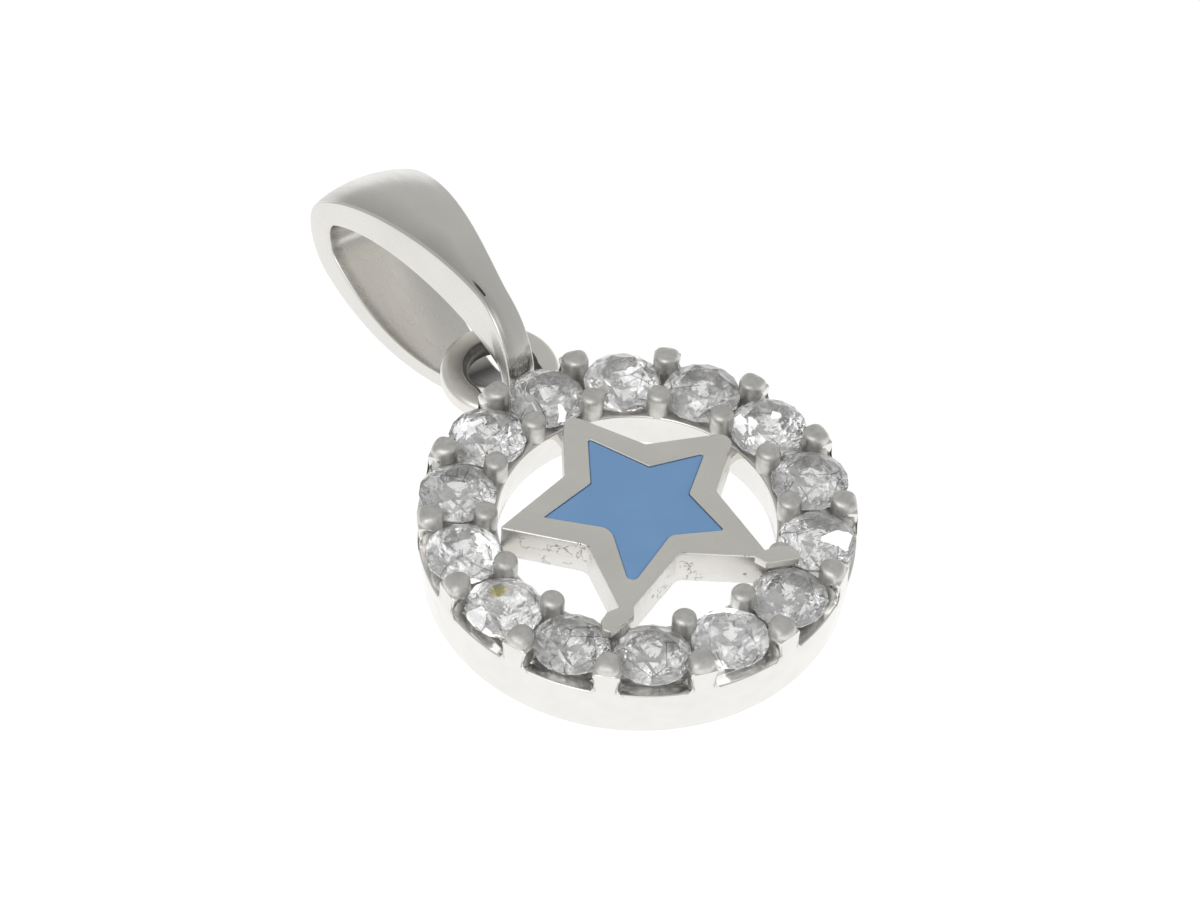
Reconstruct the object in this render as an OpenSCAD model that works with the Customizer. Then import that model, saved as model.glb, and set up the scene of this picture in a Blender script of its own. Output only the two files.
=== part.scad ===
// Star pendant: a halo of round stones with an enamelled star inside it, and a tapered bail on a fixed loop.
// The halo is drawn flat, with its back at z = 0 and the loop towards +Y. It is then tipped into the pose in
// which the pendant lies on a table, on the near edge of the halo's back and on the bail's lower strap.

/* [Stones] */
// Diameter of a stone across its girdle
stone_d = 2.0; // [1.9:0.05:2.1]
// Gap between the girdles of two neighbours
stone_gap = 0.048; // [0.046:0.001:0.06]
// Height of the girdle's lower edge above the halo's back
girdle_z = 2.02; // [1.98:0.01:2.06]
// Thickness of the girdle
girdle_t = 0.05; // [0.03:0.01:0.07]
// Width of the table as a share of the stone's diameter
table_share = 0.57; // [0.54:0.01:0.6]
// Height of the crown as a share of the stone's diameter
crown_share = 0.155; // [0.14:0.005:0.165]
// Depth of the pavilion as a share of the stone's diameter
pavilion_share = 0.43; // [0.42:0.005:0.44]
// Clearance between a stone and the metal
seat_gap = 0.02; // [0.01:0.002:0.022]

/* [Halo band] */
// Height of the plain band below the scallops
band_h = 1.61; // [1.5:0.01:1.7]
// How much the band's radius grows from its back to the scallops
band_flare = 0.18; // [0.1:0.01:0.2]
// Radius of the band's lower outer edge
band_edge_r = 0.12; // [0.08:0.01:0.16]
// Wall of the skirt that surrounds the open back
skirt_t = 0.36; // [0.3:0.01:0.36]
// Height of the plate's underside above the back
plate_z = 0.91; // [0.85:0.01:0.95]
// Height of the inner wall's upper edge
inner_wall_top = 1.9; // [1.85:0.01:1.92]
// Radius of the hole drilled under each stone
drill_r = 0.42; // [0.38:0.01:0.42]

/* [Prongs] */
// Width of an outer prong where it leaves the band
prong_w = 0.64; // [0.63:0.01:0.68]
// Height of the outer prong's flush face
prong_face_top = 2.5; // [2.4:0.01:2.55]
// Radius of an outer prong's round tip
outer_prong_r = 0.31; // [0.29:0.01:0.31]
// Height of the centre of an outer prong's tip
outer_prong_z = 2.42; // [2.38:0.01:2.46]
// Radius of an inner prong
inner_prong_r = 0.29; // [0.27:0.01:0.29]
// Height of the centre of an inner prong's tip
inner_prong_z = 2.47; // [2.43:0.01:2.5]

/* [Star] */
// Distance from the centre to the enamel's points
enamel_tip_r = 2.4; // [2.35:0.01:2.45]
// Rounding of the enamel's points
enamel_tip_round = 0.06; // [0.04:0.01:0.08]
// Distance from the centre to the enamel's inner corners
enamel_notch_r = 1.34; // [1.3:0.01:1.38]
// Rounding of the enamel's inner corners
enamel_notch_round = 0.3; // [0.2:0.02:0.4]
// Distance from the centre to the frame's points, before they are rounded
frame_tip_r = 3.71; // [3.7:0.01:3.72]
// Rounding of the frame's points
frame_tip_round = 0.12; // [0.11:0.005:0.13]
// Distance from the centre to the frame's inner corners
frame_notch_r = 1.97; // [1.93:0.01:2.0]
// Rounding of the frame's inner corners
frame_notch_round = 0.22; // [0.16:0.02:0.3]
// Height of the star's face above the halo's back
star_top = 2.6; // [2.55:0.01:2.65]
// Thickness of the star
star_t = 1.06; // [1:0.01:1.1]
// Depth of the recess that holds the enamel
recess_depth = 0.36; // [0.3:0.02:0.4]
// Clearance round the enamel and under it
enamel_gap = 0.02; // [0.015:0.005:0.03]

/* [Loop] */
// Distance from the halo's centre to the loop's centre
loop_y = 6.88; // [6.85:0.01:6.9]
// Height of the loop's centre above the halo's back
loop_z = 0.75; // [0.7:0.01:0.8]
// Outer radius of the loop
loop_r = 1.55; // [1.52:0.01:1.58]
// Radius of the loop's hole
loop_hole_r = 0.84; // [0.82:0.01:0.86]
// Thickness of the loop
loop_t = 0.56; // [0.5:0.02:0.6]
// Rounding of the loop's edges
loop_edge_r = 0.2; // [0.15:0.01:0.22]

/* [Bail] */
// Width of the bail at the end that passes through the loop
bail_tip_w = 0.76; // [0.7:0.02:0.8]
// Width of the bail at its far end
bail_end_w = 2.65; // [2.4:0.05:2.7]
// Crown of the bail's outer face as a share of its width
bail_crown = 0.1; // [0.06:0.01:0.14]

/* [Hidden] */

$fn = 64;
stone_count = 14;
star_points = 5;
step = 360/stone_count;
star_step = 360/star_points;
// Each stone is turned about its own axis by this much more than its neighbour
turn_step = step*5/8;
// Taller than the halo, for cutters
tall = 3;

silver = [0.80, 0.79, 0.77];
crystal = [0.78, 0.80, 0.83];
blue = [0.35, 0.55, 0.76];

// Stone cut: heights are taken from the girdle's lower edge
stone_r = stone_d/2;
table_r = stone_r*table_share;
kite_r = 0.763*stone_r;
main_r = 0.2*stone_r;
crown_h = stone_d*crown_share;
pavilion_h = stone_d*pavilion_share;
kite_z = girdle_t + crown_h*(stone_r - kite_r*cos(22.5))/(stone_r - table_r);
main_z = -pavilion_h*(1 - main_r*cos(22.5)/stone_r);

// Halo
ring_r = (stone_d + stone_gap)/(2*sin(step/2));
band_top_r = ring_r + stone_r;
band_base_r = band_top_r - band_flare;
skirt_in_r = band_base_r - skirt_t;
inner_wall_r = ring_r - stone_r - 0.05;
ledge_r = ring_r + 0.3;
ledge_z = band_h - 0.06;
plate_edge_r = ring_r - 0.35;
scallop_wall_r = band_top_r - 0.38;
outer_prong_at = band_top_r - 0.33;
inner_prong_at = ring_r - 0.74;
post_foot = band_h - 0.1;

// The loop's hole runs on towards the halo, in a slightly narrower bore
loop_run = 0.43;
loop_run_r = loop_hole_r - 0.04;

// Bail, seen from the side: an oval of four arcs, outside and inside.
// Columns: the round tip's centre y and z and its radius, the far end's centre y and z and its radius,
// and the radii of the upper and the lower arc.
bail_outer = [7.64, 1.49, 1.84, 13.2, 0.03, 1.4, 8, 7.4];
bail_inner = [6.65, 1.31, 0.45, 12.79, 0.33, 0.8, 6.52, 5.59];
bail_start_y = 6.8;
bail_len = 8.2;
bail_swell = 0.68;
bail_rest_y = 10.02;
arc_steps = 14;

// Rest pose: the near edge of the back and the bail's lower arc touch one plane
rim_centre = [-(band_base_r - band_edge_r), band_edge_r];
strap_centre = arc_centre(bail_outer, -1);
strap_r = bail_outer[7] + bail_crown*bail_width(bail_rest_y);
rest_span = strap_centre - rim_centre;
rest_tilt = asin((strap_r - band_edge_r)/norm(rest_span)) - atan2(rest_span[1], rest_span[0]);
rest_z = band_edge_r - tipped(rim_centre)[1];
near_y = tipped([-band_top_r, girdle_z + girdle_t])[0];
far_y = tipped([bail_outer[3], bail_outer[4]])[0] + bail_outer[5] + bail_crown*bail_end_w;
rest_y = -(near_y + far_y)/2;

// A point of the side view (y, z) after the pendant is tipped
function tipped(p) = [p[0]*cos(rest_tilt) - p[1]*sin(rest_tilt), p[0]*sin(rest_tilt) + p[1]*cos(rest_tilt)];

// Centre of the upper (side 1) or lower (side -1) arc, which touches both end circles from outside
function arc_centre(o, side) =
    let (c1 = [o[0], o[1]],
         c3 = [o[3], o[4]],
         radius = side > 0 ? o[6] : o[7],
         a = radius - o[2],
         b = radius - o[5],
         len = norm(c3 - c1),
         u = (c3 - c1)/len,
         along = (a*a - b*b + len*len)/(2*len),
         across = sqrt(a*a - along*along))
    c1 + u*along - side*across*[-u[1], u[0]];

// An angle raised by full turns until it isn't below another
function after(a, low) = a < low ? after(a + 360, low) : a;

function arc_points(c, r, a0, a1) =
    [for (i = [0:arc_steps - 1]) c + r*[cos(a0 + (a1 - a0)*i/arc_steps), sin(a0 + (a1 - a0)*i/arc_steps)]];

// The oval as points: tip arc, lower arc, far arc, upper arc
function oval_points(o) =
    let (c1 = [o[0], o[1]],
         c3 = [o[3], o[4]],
         cu = arc_centre(o, 1),
         cl = arc_centre(o, -1),
         u1 = after(atan2(c1[1] - cu[1], c1[0] - cu[0]), 0),
         l1 = after(atan2(c1[1] - cl[1], c1[0] - cl[0]), u1),
         l3 = after(atan2(c3[1] - cl[1], c3[0] - cl[0]), l1),
         u3 = after(atan2(c3[1] - cu[1], c3[0] - cu[0]), l3))
    concat(arc_points(c1, o[2], u1, l1),
           arc_points(cl, o[7], l1, l3),
           arc_points(c3, o[5], l3, u3),
           arc_points(cu, o[6], u3, after(u1, u3)));

// Width of the bail's band at a distance y from the halo's centre: a soft S from the tip to the far end
function bail_width(y) =
    let (s = pow(min(1, max(0, (y - bail_start_y)/bail_len)), bail_swell))
    bail_tip_w + (bail_end_w - bail_tip_w)*(0.5 - 0.5*cos(180*s));

// Angle between a star's side and the line from its centre to its point
function star_lean(tip_r, notch_r) =
    let (half = star_step/2)
    atan2(notch_r*sin(half), tip_r - notch_r*cos(half));

// A round corner, seen from above: its centre is at a distance on the line at angle a, and its arc is swept
// to both sides of the way it faces
function corner_arc(a, at, r, facing, swing, steps = 6) =
    [for (k = [0:steps])
        let (t = a + facing - swing + 2*swing*k/steps)
        at*[sin(a), cos(a)] + r*[sin(t), cos(t)]];

// Outline of a star, clockwise: each point, round or sharp, then the round inner corner after it
function star_outline(tip_r, notch_r, tip_round, notch_round) =
    let (lean = star_lean(tip_r, notch_r),
         open = lean + star_step/2,
         tip_at = tip_r - tip_round/sin(lean),
         notch_at = notch_r + notch_round/sin(open))
    [for (i = [0:star_points - 1])
        each concat(corner_arc(i*star_step, tip_at, tip_round, 0, 90 - lean),
                    corner_arc((i + 0.5)*star_step, notch_at, notch_round, 180, open - 90))];

// Puts a piece that is drawn on the flat halo into the lying pose
module at_rest() {
    translate([0, rest_y, rest_z])
        rotate([rest_tilt, 0, 0])
            children();
}

// Repeats a piece round the halo, k steps after the +Y axis, clockwise from above
module round_halo(shift = 0) {
    for (k = [0:stone_count - 1])
        rotate([0, 0, -(k + shift)*step])
            children();
}

// Band, skirt, seat plate and scallop wall as one turned ring
module turned_band() {
    brow = 0.3;
    rotate_extrude($fn = 96) {
        polygon([[skirt_in_r, 0],
                 [band_base_r - band_edge_r, 0],
                 [band_base_r, band_edge_r],
                 [band_top_r, band_h],
                 [band_top_r, prong_face_top - brow],
                 [band_top_r - brow, prong_face_top],
                 [scallop_wall_r, prong_face_top],
                 [scallop_wall_r, ledge_z],
                 [ledge_r, ledge_z],
                 [plate_edge_r, inner_wall_top],
                 [inner_wall_r, inner_wall_top],
                 [inner_wall_r, plate_z],
                 [skirt_in_r, plate_z]]);
        translate([band_base_r - band_edge_r, band_edge_r])
            circle(band_edge_r);
        intersection() {
            translate([band_top_r - brow, prong_face_top - brow])
                circle(brow);
            translate([scallop_wall_r, prong_face_top - brow])
                square(1);
        }
    }
}

// The opening in the scallop wall in front of one stone, with round lower corners
module scallop() {
    width = 2*band_top_r*sin(step/2) - prong_w;
    corner = 0.2;
    depth = 1.4;
    translate([0, scallop_wall_r + depth - 0.02, 0])
        rotate([90, 0, 0])
            linear_extrude(depth) {
                translate([-width/2, band_h + corner])
                    square([width, tall]);
                translate([-width/2 + corner, band_h])
                    square([width - 2*corner, tall]);
                for (side = [-1, 1])
                    translate([side*(width/2 - corner), band_h + corner])
                        circle(corner, $fn = 24);
            }
}

// A round post with a domed tip
module prong_post(distance, radius, tip_z) {
    height = tip_z - post_foot;
    translate([0, distance, post_foot])
        rotate_extrude($fn = 32)
            intersection() {
                square([radius, height + radius]);
                union() {
                    square([radius, height]);
                    translate([0, height])
                        circle(radius, $fn = 32);
                }
            }
}

// The room that one stone takes, with its clearance and the drilled hole below it. The seat's cone follows
// the lower facets, which run straight from the pavilion mains' side corners to the girdle.
module stone_room() {
    room_r = stone_r + seat_gap;
    drill_top = girdle_z + main_z*(stone_r - drill_r + seat_gap)/(stone_r - main_r);
    translate([0, ring_r, 0])
        rotate_extrude($fn = 48)
            polygon([[0, 0],
                     [drill_r, 0],
                     [drill_r, drill_top],
                     [room_r, girdle_z - seat_gap],
                     [room_r, girdle_z + girdle_t + seat_gap],
                     [table_r + seat_gap, girdle_z + girdle_t + crown_h + seat_gap],
                     [0, girdle_z + girdle_t + crown_h + seat_gap]]);
}

// The star's plate, with the recess for the enamel cut into its face
module star_frame() {
    difference() {
        translate([0, 0, star_top - star_t])
            linear_extrude(star_t)
                polygon(star_outline(frame_tip_r, frame_notch_r, frame_tip_round, frame_notch_round));
        translate([0, 0, star_top - recess_depth])
            linear_extrude(tall)
                polygon(star_outline(enamel_tip_r, enamel_notch_r, enamel_tip_round, enamel_notch_round));
    }
}

// The fixed loop: a flat round ring with soft edges, whose hole runs on to the halo's wall
module fixed_loop() {
    flat = loop_t/2 - loop_edge_r;
    difference() {
        translate([0, loop_y, loop_z])
            rotate_extrude($fn = 64)
                union() {
                    translate([loop_hole_r, -flat])
                        square([loop_r - loop_hole_r, 2*flat]);
                    translate([loop_hole_r + loop_edge_r, -loop_t/2])
                        square([loop_r - loop_hole_r - 2*loop_edge_r, loop_t]);
                    for (side = [-1, 1], r = [loop_hole_r + loop_edge_r, loop_r - loop_edge_r])
                        translate([r, side*flat])
                            circle(loop_edge_r, $fn = 24);
                }
        translate([0, loop_y - loop_run, 0])
            cylinder(r = loop_run_r, h = tall);
    }
}

module setting() {
    color(silver)
        at_rest()
            difference() {
                union() {
                    difference() {
                        turned_band();
                        round_halo()
                            scallop();
                    }
                    round_halo(0.5)
                        prong_post(outer_prong_at, outer_prong_r, outer_prong_z);
                    round_halo(0.5)
                        prong_post(inner_prong_at, inner_prong_r, inner_prong_z);
                    star_frame();
                    fixed_loop();
                }
                round_halo()
                    stone_room();
            }
}

// One cross-section of the bail between a point of the outer oval and its partner on the inner one
function bail_section(outer, inner) =
    let (out = (outer - inner)/norm(outer - inner),
         w = bail_width((outer[0] + inner[0])/2),
         rise = bail_crown*w)
    concat([for (k = [-2:2])
               let (p = outer + out*rise*(1 - k*k/4))
               [k*w/4, p[0], p[1]]],
           [[w/2, inner[0], inner[1]],
            [-w/2, inner[0], inner[1]]]);

module bail() {
    outer = oval_points(bail_outer);
    inner = oval_points(bail_inner);
    stations = len(outer);
    sides = 7;
    points = [for (s = [0:stations - 1]) each bail_section(outer[s], inner[s])];
    faces = [for (s = [0:stations - 1], k = [0:sides - 1])
                let (a = s*sides + k,
                     b = s*sides + (k + 1)%sides,
                     c = ((s + 1)%stations)*sides + (k + 1)%sides,
                     d = ((s + 1)%stations)*sides + k)
                each [[a, b, c], [a, c, d]]];
    color(silver)
        at_rest()
            polyhedron(points = points, faces = faces);
}

module enamel_star() {
    fit = 1 - enamel_gap/(enamel_tip_r*sin(star_lean(enamel_tip_r, enamel_notch_r)));
    color(blue)
        at_rest()
            translate([0, 0, star_top - recess_depth + enamel_gap])
                linear_extrude(recess_depth - enamel_gap)
                    polygon(star_outline(enamel_tip_r*fit, enamel_notch_r*fit,
                                         enamel_tip_round, enamel_notch_round));
}

// A point at an angle (clockwise from +Y), distance from the stone's axis and height
function at(angle, r, z) = [r*sin(angle), r*cos(angle), z];

// Round brilliant cut: a table, eight kites with a star facet between each pair, sixteen upper and sixteen
// lower girdle facets and eight pavilion mains. The kites and the mains are flat because their side corners
// lie, in the side view, on the straight line between their inner and outer ends.
module brilliant() {
    points = concat([for (k = [0:7]) at(45*k, table_r, girdle_t + crown_h)],
                    [for (k = [0:7]) at(45*k + 22.5, kite_r, kite_z)],
                    [for (k = [0:15]) at(22.5*k, stone_r, girdle_t)],
                    [for (k = [0:15]) at(22.5*k, stone_r, 0)],
                    [for (k = [0:7]) at(45*k + 22.5, main_r, main_z)],
                    [[0, 0, -pavilion_h]]);
    culet = len(points) - 1;
    function tab(k) = k%8;
    function kite(k) = 8 + (k + 8)%8;
    function top(k) = 16 + k%16;
    function bot(k) = 32 + k%16;
    function main(k) = 48 + (k + 8)%8;
    faces = concat([[for (k = [0:7]) tab(k)]],
                   [for (k = [0:7]) [tab(k + 1), tab(k), kite(k)]],
                   [for (k = [0:7]) [tab(k), kite(k - 1), top(2*k), kite(k)]],
                   [for (k = [0:7]) [kite(k), top(2*k), top(2*k + 1)]],
                   [for (k = [0:7]) [kite(k), top(2*k + 1), top(2*k + 2)]],
                   [for (k = [0:15]) [top(k), bot(k), bot(k + 1), top(k + 1)]],
                   [for (k = [0:7]) [main(k), bot(2*k + 1), bot(2*k)]],
                   [for (k = [0:7]) [main(k), bot(2*k + 2), bot(2*k + 1)]],
                   [for (k = [0:7]) [culet, main(k), bot(2*k), main(k - 1)]]);
    polyhedron(points = points, faces = faces);
}

// Name of the k-th stone, counted clockwise from the loop
function stone_name(k) = str("stone_", k < 10 ? "0" : "", k);

module stone(k) {
    color(crystal)
        at_rest()
            rotate([0, 0, -(k - 1)*step])
                translate([0, ring_r, girdle_z])
                    rotate([0, 0, (k - 1 - stone_count/2)*turn_step])
                        brilliant();
}

setting();
bail();
enamel_star();
for (k = [1:stone_count]) stone(k);
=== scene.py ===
"""Star pendant, dressed for its photograph.

Every length below is in millimetres on the flat halo, as in the part's source: the halo's centre on
its back plane is the origin, Z is the halo's axis and +Y runs towards the bail. lie() turns and
shifts such points into the pose in which the pendant lies on the table, and into metres.
"""
import math
from collections import namedtuple

import bmesh
import bpy
import numpy as np
from mathutils import Matrix, Vector


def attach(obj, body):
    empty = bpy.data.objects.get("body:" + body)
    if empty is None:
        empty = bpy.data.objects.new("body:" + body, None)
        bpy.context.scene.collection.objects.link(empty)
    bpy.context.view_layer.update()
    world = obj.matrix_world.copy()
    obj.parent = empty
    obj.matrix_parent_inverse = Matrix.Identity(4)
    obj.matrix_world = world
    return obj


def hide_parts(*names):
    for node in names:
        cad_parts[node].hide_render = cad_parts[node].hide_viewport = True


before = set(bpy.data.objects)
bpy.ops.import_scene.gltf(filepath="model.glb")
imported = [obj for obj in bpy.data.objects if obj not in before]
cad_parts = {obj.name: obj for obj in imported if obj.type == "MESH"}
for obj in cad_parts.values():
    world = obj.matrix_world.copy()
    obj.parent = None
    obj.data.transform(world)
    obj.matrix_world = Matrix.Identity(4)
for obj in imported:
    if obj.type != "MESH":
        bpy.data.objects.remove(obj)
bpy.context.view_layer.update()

# Meshes: points closer than the first distance are merged, and edges shorter than the second go.
# Both are in metres
MERGE_M = 2e-7
SHORT_M = 1e-8

# Stones
STONES = 14
STEP = 2*math.pi/STONES
STONE_D = 2.0
STONE_R = STONE_D/2
STONE_GAP = 0.048
GIRDLE_Z = 2.02
GIRDLE_T = 0.05
SEAT_GAP = 0.02
PAVILION_H = 0.43*STONE_D
MAIN_R = 0.2*STONE_R
MAIN_Z = -PAVILION_H*(1 - MAIN_R*math.cos(math.pi/8)/STONE_R)
# Where one stone carries a painted yellow glint
YELLOW_GLINT = (-4.5, -0.72, 2.35)

# Halo band
BAND_H = 1.61
BAND_EDGE_R = 0.12
RING_R = (STONE_D + STONE_GAP)/(2*math.sin(STEP/2))
BAND_TOP_R = RING_R + STONE_R
BAND_BASE_R = BAND_TOP_R - 0.18
SKIRT_IN_R = BAND_BASE_R - 0.36
PLATE_Z = 0.91
INNER_WALL_R = RING_R - STONE_R - 0.05
INNER_WALL_TOP = 1.9
LEDGE_R = RING_R + 0.3
LEDGE_Z = BAND_H - 0.06
PLATE_EDGE_R = RING_R - 0.35
SCALLOP_WALL_R = BAND_TOP_R - 0.38
DRILL_R = 0.42
DRILL_TOP = GIRDLE_Z + MAIN_Z*(STONE_R - DRILL_R + SEAT_GAP)/(STONE_R - MAIN_R)
BAND_COLUMNS = 28
LEVEL_TOP = 1.46
RIM_SOFT = 0.055
FOOT_SOFT = 0.05
WALL_SOFT = 0.05
SCALLOP_CORNER_R = 0.1

# Prongs. On the band a prong's face is PRONG_W wide less PRONG_IN on each side at its foot, and
# spreads by PRONG_SPREAD on each side up to its top corner
PRONG_W = 0.64
PRONG_IN = 0.05
PRONG_SPREAD = 0.1
PRONG_CORNER_R = 0.1
PRONG_FACE_TOP = 2.28
PRONG_FOOT = 1.5
OUTER_PRONG_AT = BAND_TOP_R - 0.33
INNER_PRONG_AT = RING_R - 0.74
# The inner places that carry a lug, counted clockwise from the loop
LUG_PRONGS = (5, 8)

# Star. A corner is its distance from the centre, its angle in degrees clockwise from +Y and its
# rounding: point and inner corner in turn, from the one at the loop
STAR_TOP = 2.6
STAR_LOW = STAR_TOP - 1.06
STAR_SOFT = 0.05
RECESS_Z = STAR_TOP - 0.36
RECESS_LIP = 0.02
FRAME_STAR = ((3.6, -2, 0.3), (2.02, 36, 0.12), (3.55, 75, 0.3), (2.04, 106.5, 0.2),
              (3.78, 147.5, 0.08), (1.95, 179, 0.3), (3.85, 215.6, 0.08), (1.95, 251, 0.35),
              (3.64, 285, 0.06), (2.06, 325.5, 0.15))
ENAMEL_STAR = ((2.5, -0.5, 0.07), (1.28, 43, 0.06), (2.43, 74.5, 0.06), (1.34, 105, 0.12),
               (2.33, 141.5, 0.05), (1.33, 172.5, 0.3), (2.85, 214.5, 0.16), (1.12, 248.5, 0.42),
               (2.47, 287, 0.03), (1.36, 328, 0.08))
ENAMEL_GAP = 0.012
ENAMEL_EDGE_DROP = 0.05
# How far the enamel's face lies under the frame's, from its edge inwards: inset and drop
ENAMEL_SINK = ((0.015, 0.034), (0.05, 0.024), (0.11, 0.016), (0.2, 0.012))
# The root under the point at the loop. Its twin lies at the next point, ROOT_STEP degrees on
ROOT = ((3.62, -4.6, 0.05), (3.62, 4.6, 0.05), (2.9, 6, 0.05), (2.9, -6, 0.05))
ROOT_STEP = 72
ROOT_RISE = 0.03
ROOT_TOP = 1.86
# The lug at the lower left point. The right-hand one is its mirror image, turned by LUG_TURN
# degrees as its point is
LUG = ((3.76, 212.0, 0.04), (4.4, 219.6, 0.05), (4.35, 222.3, 0.05), (4.08, 223.8, 0.05),
       (3.76, 222.5, 0.04), (3.5, 217.5, 0.05), (3.35, 212.4, 0.05))
LUG_TURN = 3
LUG_LOW = 2.38
LUG_TOP = STAR_TOP + 0.003
SLAB_SOFT = 0.03

# Loop
LOOP_Y = 6.88
LOOP_Z = 0.75
LOOP_R = 1.55
LOOP_HOLE_R = 0.84
LOOP_BORE_R = LOOP_HOLE_R - 0.04
LOOP_T = 0.56
LOOP_EDGE_R = 0.2
LOOP_RUN = 0.43
# The ring's columns between which it is dull and painted dark as shade: the hole's wall and the
# edges beside it
LOOP_DULL_SHADE = (8, 19)

# Bail. An oval is the circles at its tip and its far end, each by its centre's y and z and its
# radius, and the radii of the arcs that join them above and below
Oval = namedtuple("Oval", "tip tip_r far far_r upper_r lower_r")
BAIL_OUTER = Oval((7.64, 1.49), 1.84, (13.2, 0.03), 1.4, 8.0, 7.4)
BAIL_INNER = Oval((6.65, 1.31), 0.45, (12.79, 0.33), 0.8, 6.52, 5.59)
BAIL_TIP_W = 0.76
BAIL_END_W = 2.65
BAIL_CROWN = 0.1
BAIL_START_Y = 6.8
BAIL_LEN = 8.2
BAIL_SWELL = 0.68
BAIL_REST_Y = 10.02
BAIL_OUT_EDGE_R = 0.07
BAIL_IN_EDGE_R = 0.05
# The share of the outer edge's radius by which the outer face eases down before that edge
BAIL_EASE = 0.3
BAIL_STEPS = 44
# The strap's columns between which its inside lies
BAIL_INSIDE = (24, 32)

# Floor and light tent. Half the sheet's side is in metres, and its fade's turn off +Y in radians
SHEET_HALF_M = 1.5
SHEET_TURN = -0.577
SHEET_FADE = (22.6, 28.0)
TENT_GREYS = ((0.0, 0.62), (0.2, 0.56), (0.6, 0.52), (1.0, 0.5))
# A card's direction, the range of its soft edge and its colour
GREY_CARD = ((0.42, 0.9, 0.12), 0.45, 0.95, (0.56, 0.555, 0.545, 1))
BRIGHT_PANEL = ((-0.64, -0.42, 0.64), 0.84, 0.94, (1.5, 1.5, 1.48, 1))


def arc_centre(oval, side):
    """Centre of the oval's upper (side 1) or lower (side -1) arc: the point whose distances from
    the two end circles' centres are the arc's radius less each end's radius."""
    tip, far = np.array(oval.tip), np.array(oval.far)
    radius = oval.upper_r if side > 0 else oval.lower_r
    a, b, span = radius - oval.tip_r, radius - oval.far_r, np.linalg.norm(far - tip)
    u = (far - tip)/span
    along = (a*a - b*b + span*span)/(2*span)
    across = math.sqrt(a*a - along*along)
    return tip + u*along - side*across*np.array([-u[1], u[0]])


def bail_width(y):
    """Width of the bail at y: a soft S from the tip's width to the far end's width."""
    s = np.clip((y - BAIL_START_Y)/BAIL_LEN, 0, 1)**BAIL_SWELL
    return BAIL_TIP_W + (BAIL_END_W - BAIL_TIP_W)*(0.5 - 0.5*np.cos(math.pi*s))


def rest_pose():
    """Tilt and shift of the lying pendant. The near edge of the halo's back touches the table, and
    so would the bail's lower arc if its crown were everywhere as high as at BAIL_REST_Y. With its
    own crown it ends 0.03 mm over the table."""
    rim = np.array([-(BAND_BASE_R - BAND_EDGE_R), BAND_EDGE_R])
    strap_r = BAIL_OUTER.lower_r + BAIL_CROWN*float(bail_width(BAIL_REST_Y))
    span = arc_centre(BAIL_OUTER, -1) - rim
    tilt = math.asin((strap_r - BAND_EDGE_R)/np.linalg.norm(span)) - math.atan2(span[1], span[0])

    def tipped(y, z):
        """A point of the plane X = 0, tilted."""
        return np.array([y*math.cos(tilt) - z*math.sin(tilt), y*math.sin(tilt) + z*math.cos(tilt)])
    near = tipped(-BAND_TOP_R, GIRDLE_Z + GIRDLE_T)[0]
    far = tipped(*BAIL_OUTER.far)[0] + BAIL_OUTER.far_r + BAIL_CROWN*BAIL_END_W
    return tilt, -(near + far)/2, BAND_EDGE_R - tipped(*rim)[1]


REST_TILT, REST_Y, REST_Z = rest_pose()


def lie(points):
    """Halo frame in mm to the lying pose in metres: a turn about X, then a shift."""
    x, y, z = points[..., 0], points[..., 1], points[..., 2]
    c, s = math.cos(REST_TILT), math.sin(REST_TILT)
    return np.stack([x, y*c - z*s + REST_Y, y*s + z*c + REST_Z], axis=-1)/1000


def round_point(angle, r, z):
    """Points at an angle clockwise from +Y, a distance from the halo's axis and a height."""
    angle, r, z = np.broadcast_arrays(angle, r, z)
    return np.stack([r*np.sin(angle), r*np.cos(angle), z], axis=-1)


def turned(points, angle):
    """Points turned clockwise about the halo's axis."""
    c, s = math.cos(angle), math.sin(angle)
    x, y = points[..., 0], points[..., 1]
    return np.stack([x*c + y*s, y*c - x*s, points[..., 2]], axis=-1)


def round_halo(points, shift=0.0):
    """Fourteen copies of one patch, k + shift steps clockwise from the loop."""
    return [turned(points, (k + shift)*STEP) for k in range(STONES)]


def quarter(steps):
    """Angles of a quarter circle, in radians."""
    return np.radians(np.linspace(0.0, 90.0, steps + 1))


def level(line, z):
    """A flat outline at a height."""
    return np.concatenate([line, np.full((len(line), 1), z)], axis=-1)


def split(columns, points, *uv):
    """Three patches, split at two columns: finish 1 between them and finish 0 beside them."""
    first, last = columns
    spans = ((slice(0, first + 1), 0), (slice(first, last + 1), 1), (slice(last, None), 0))
    return [(points[:, span], number, *[grid[:, span] for grid in uv]) for span, number in spans]


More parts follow.
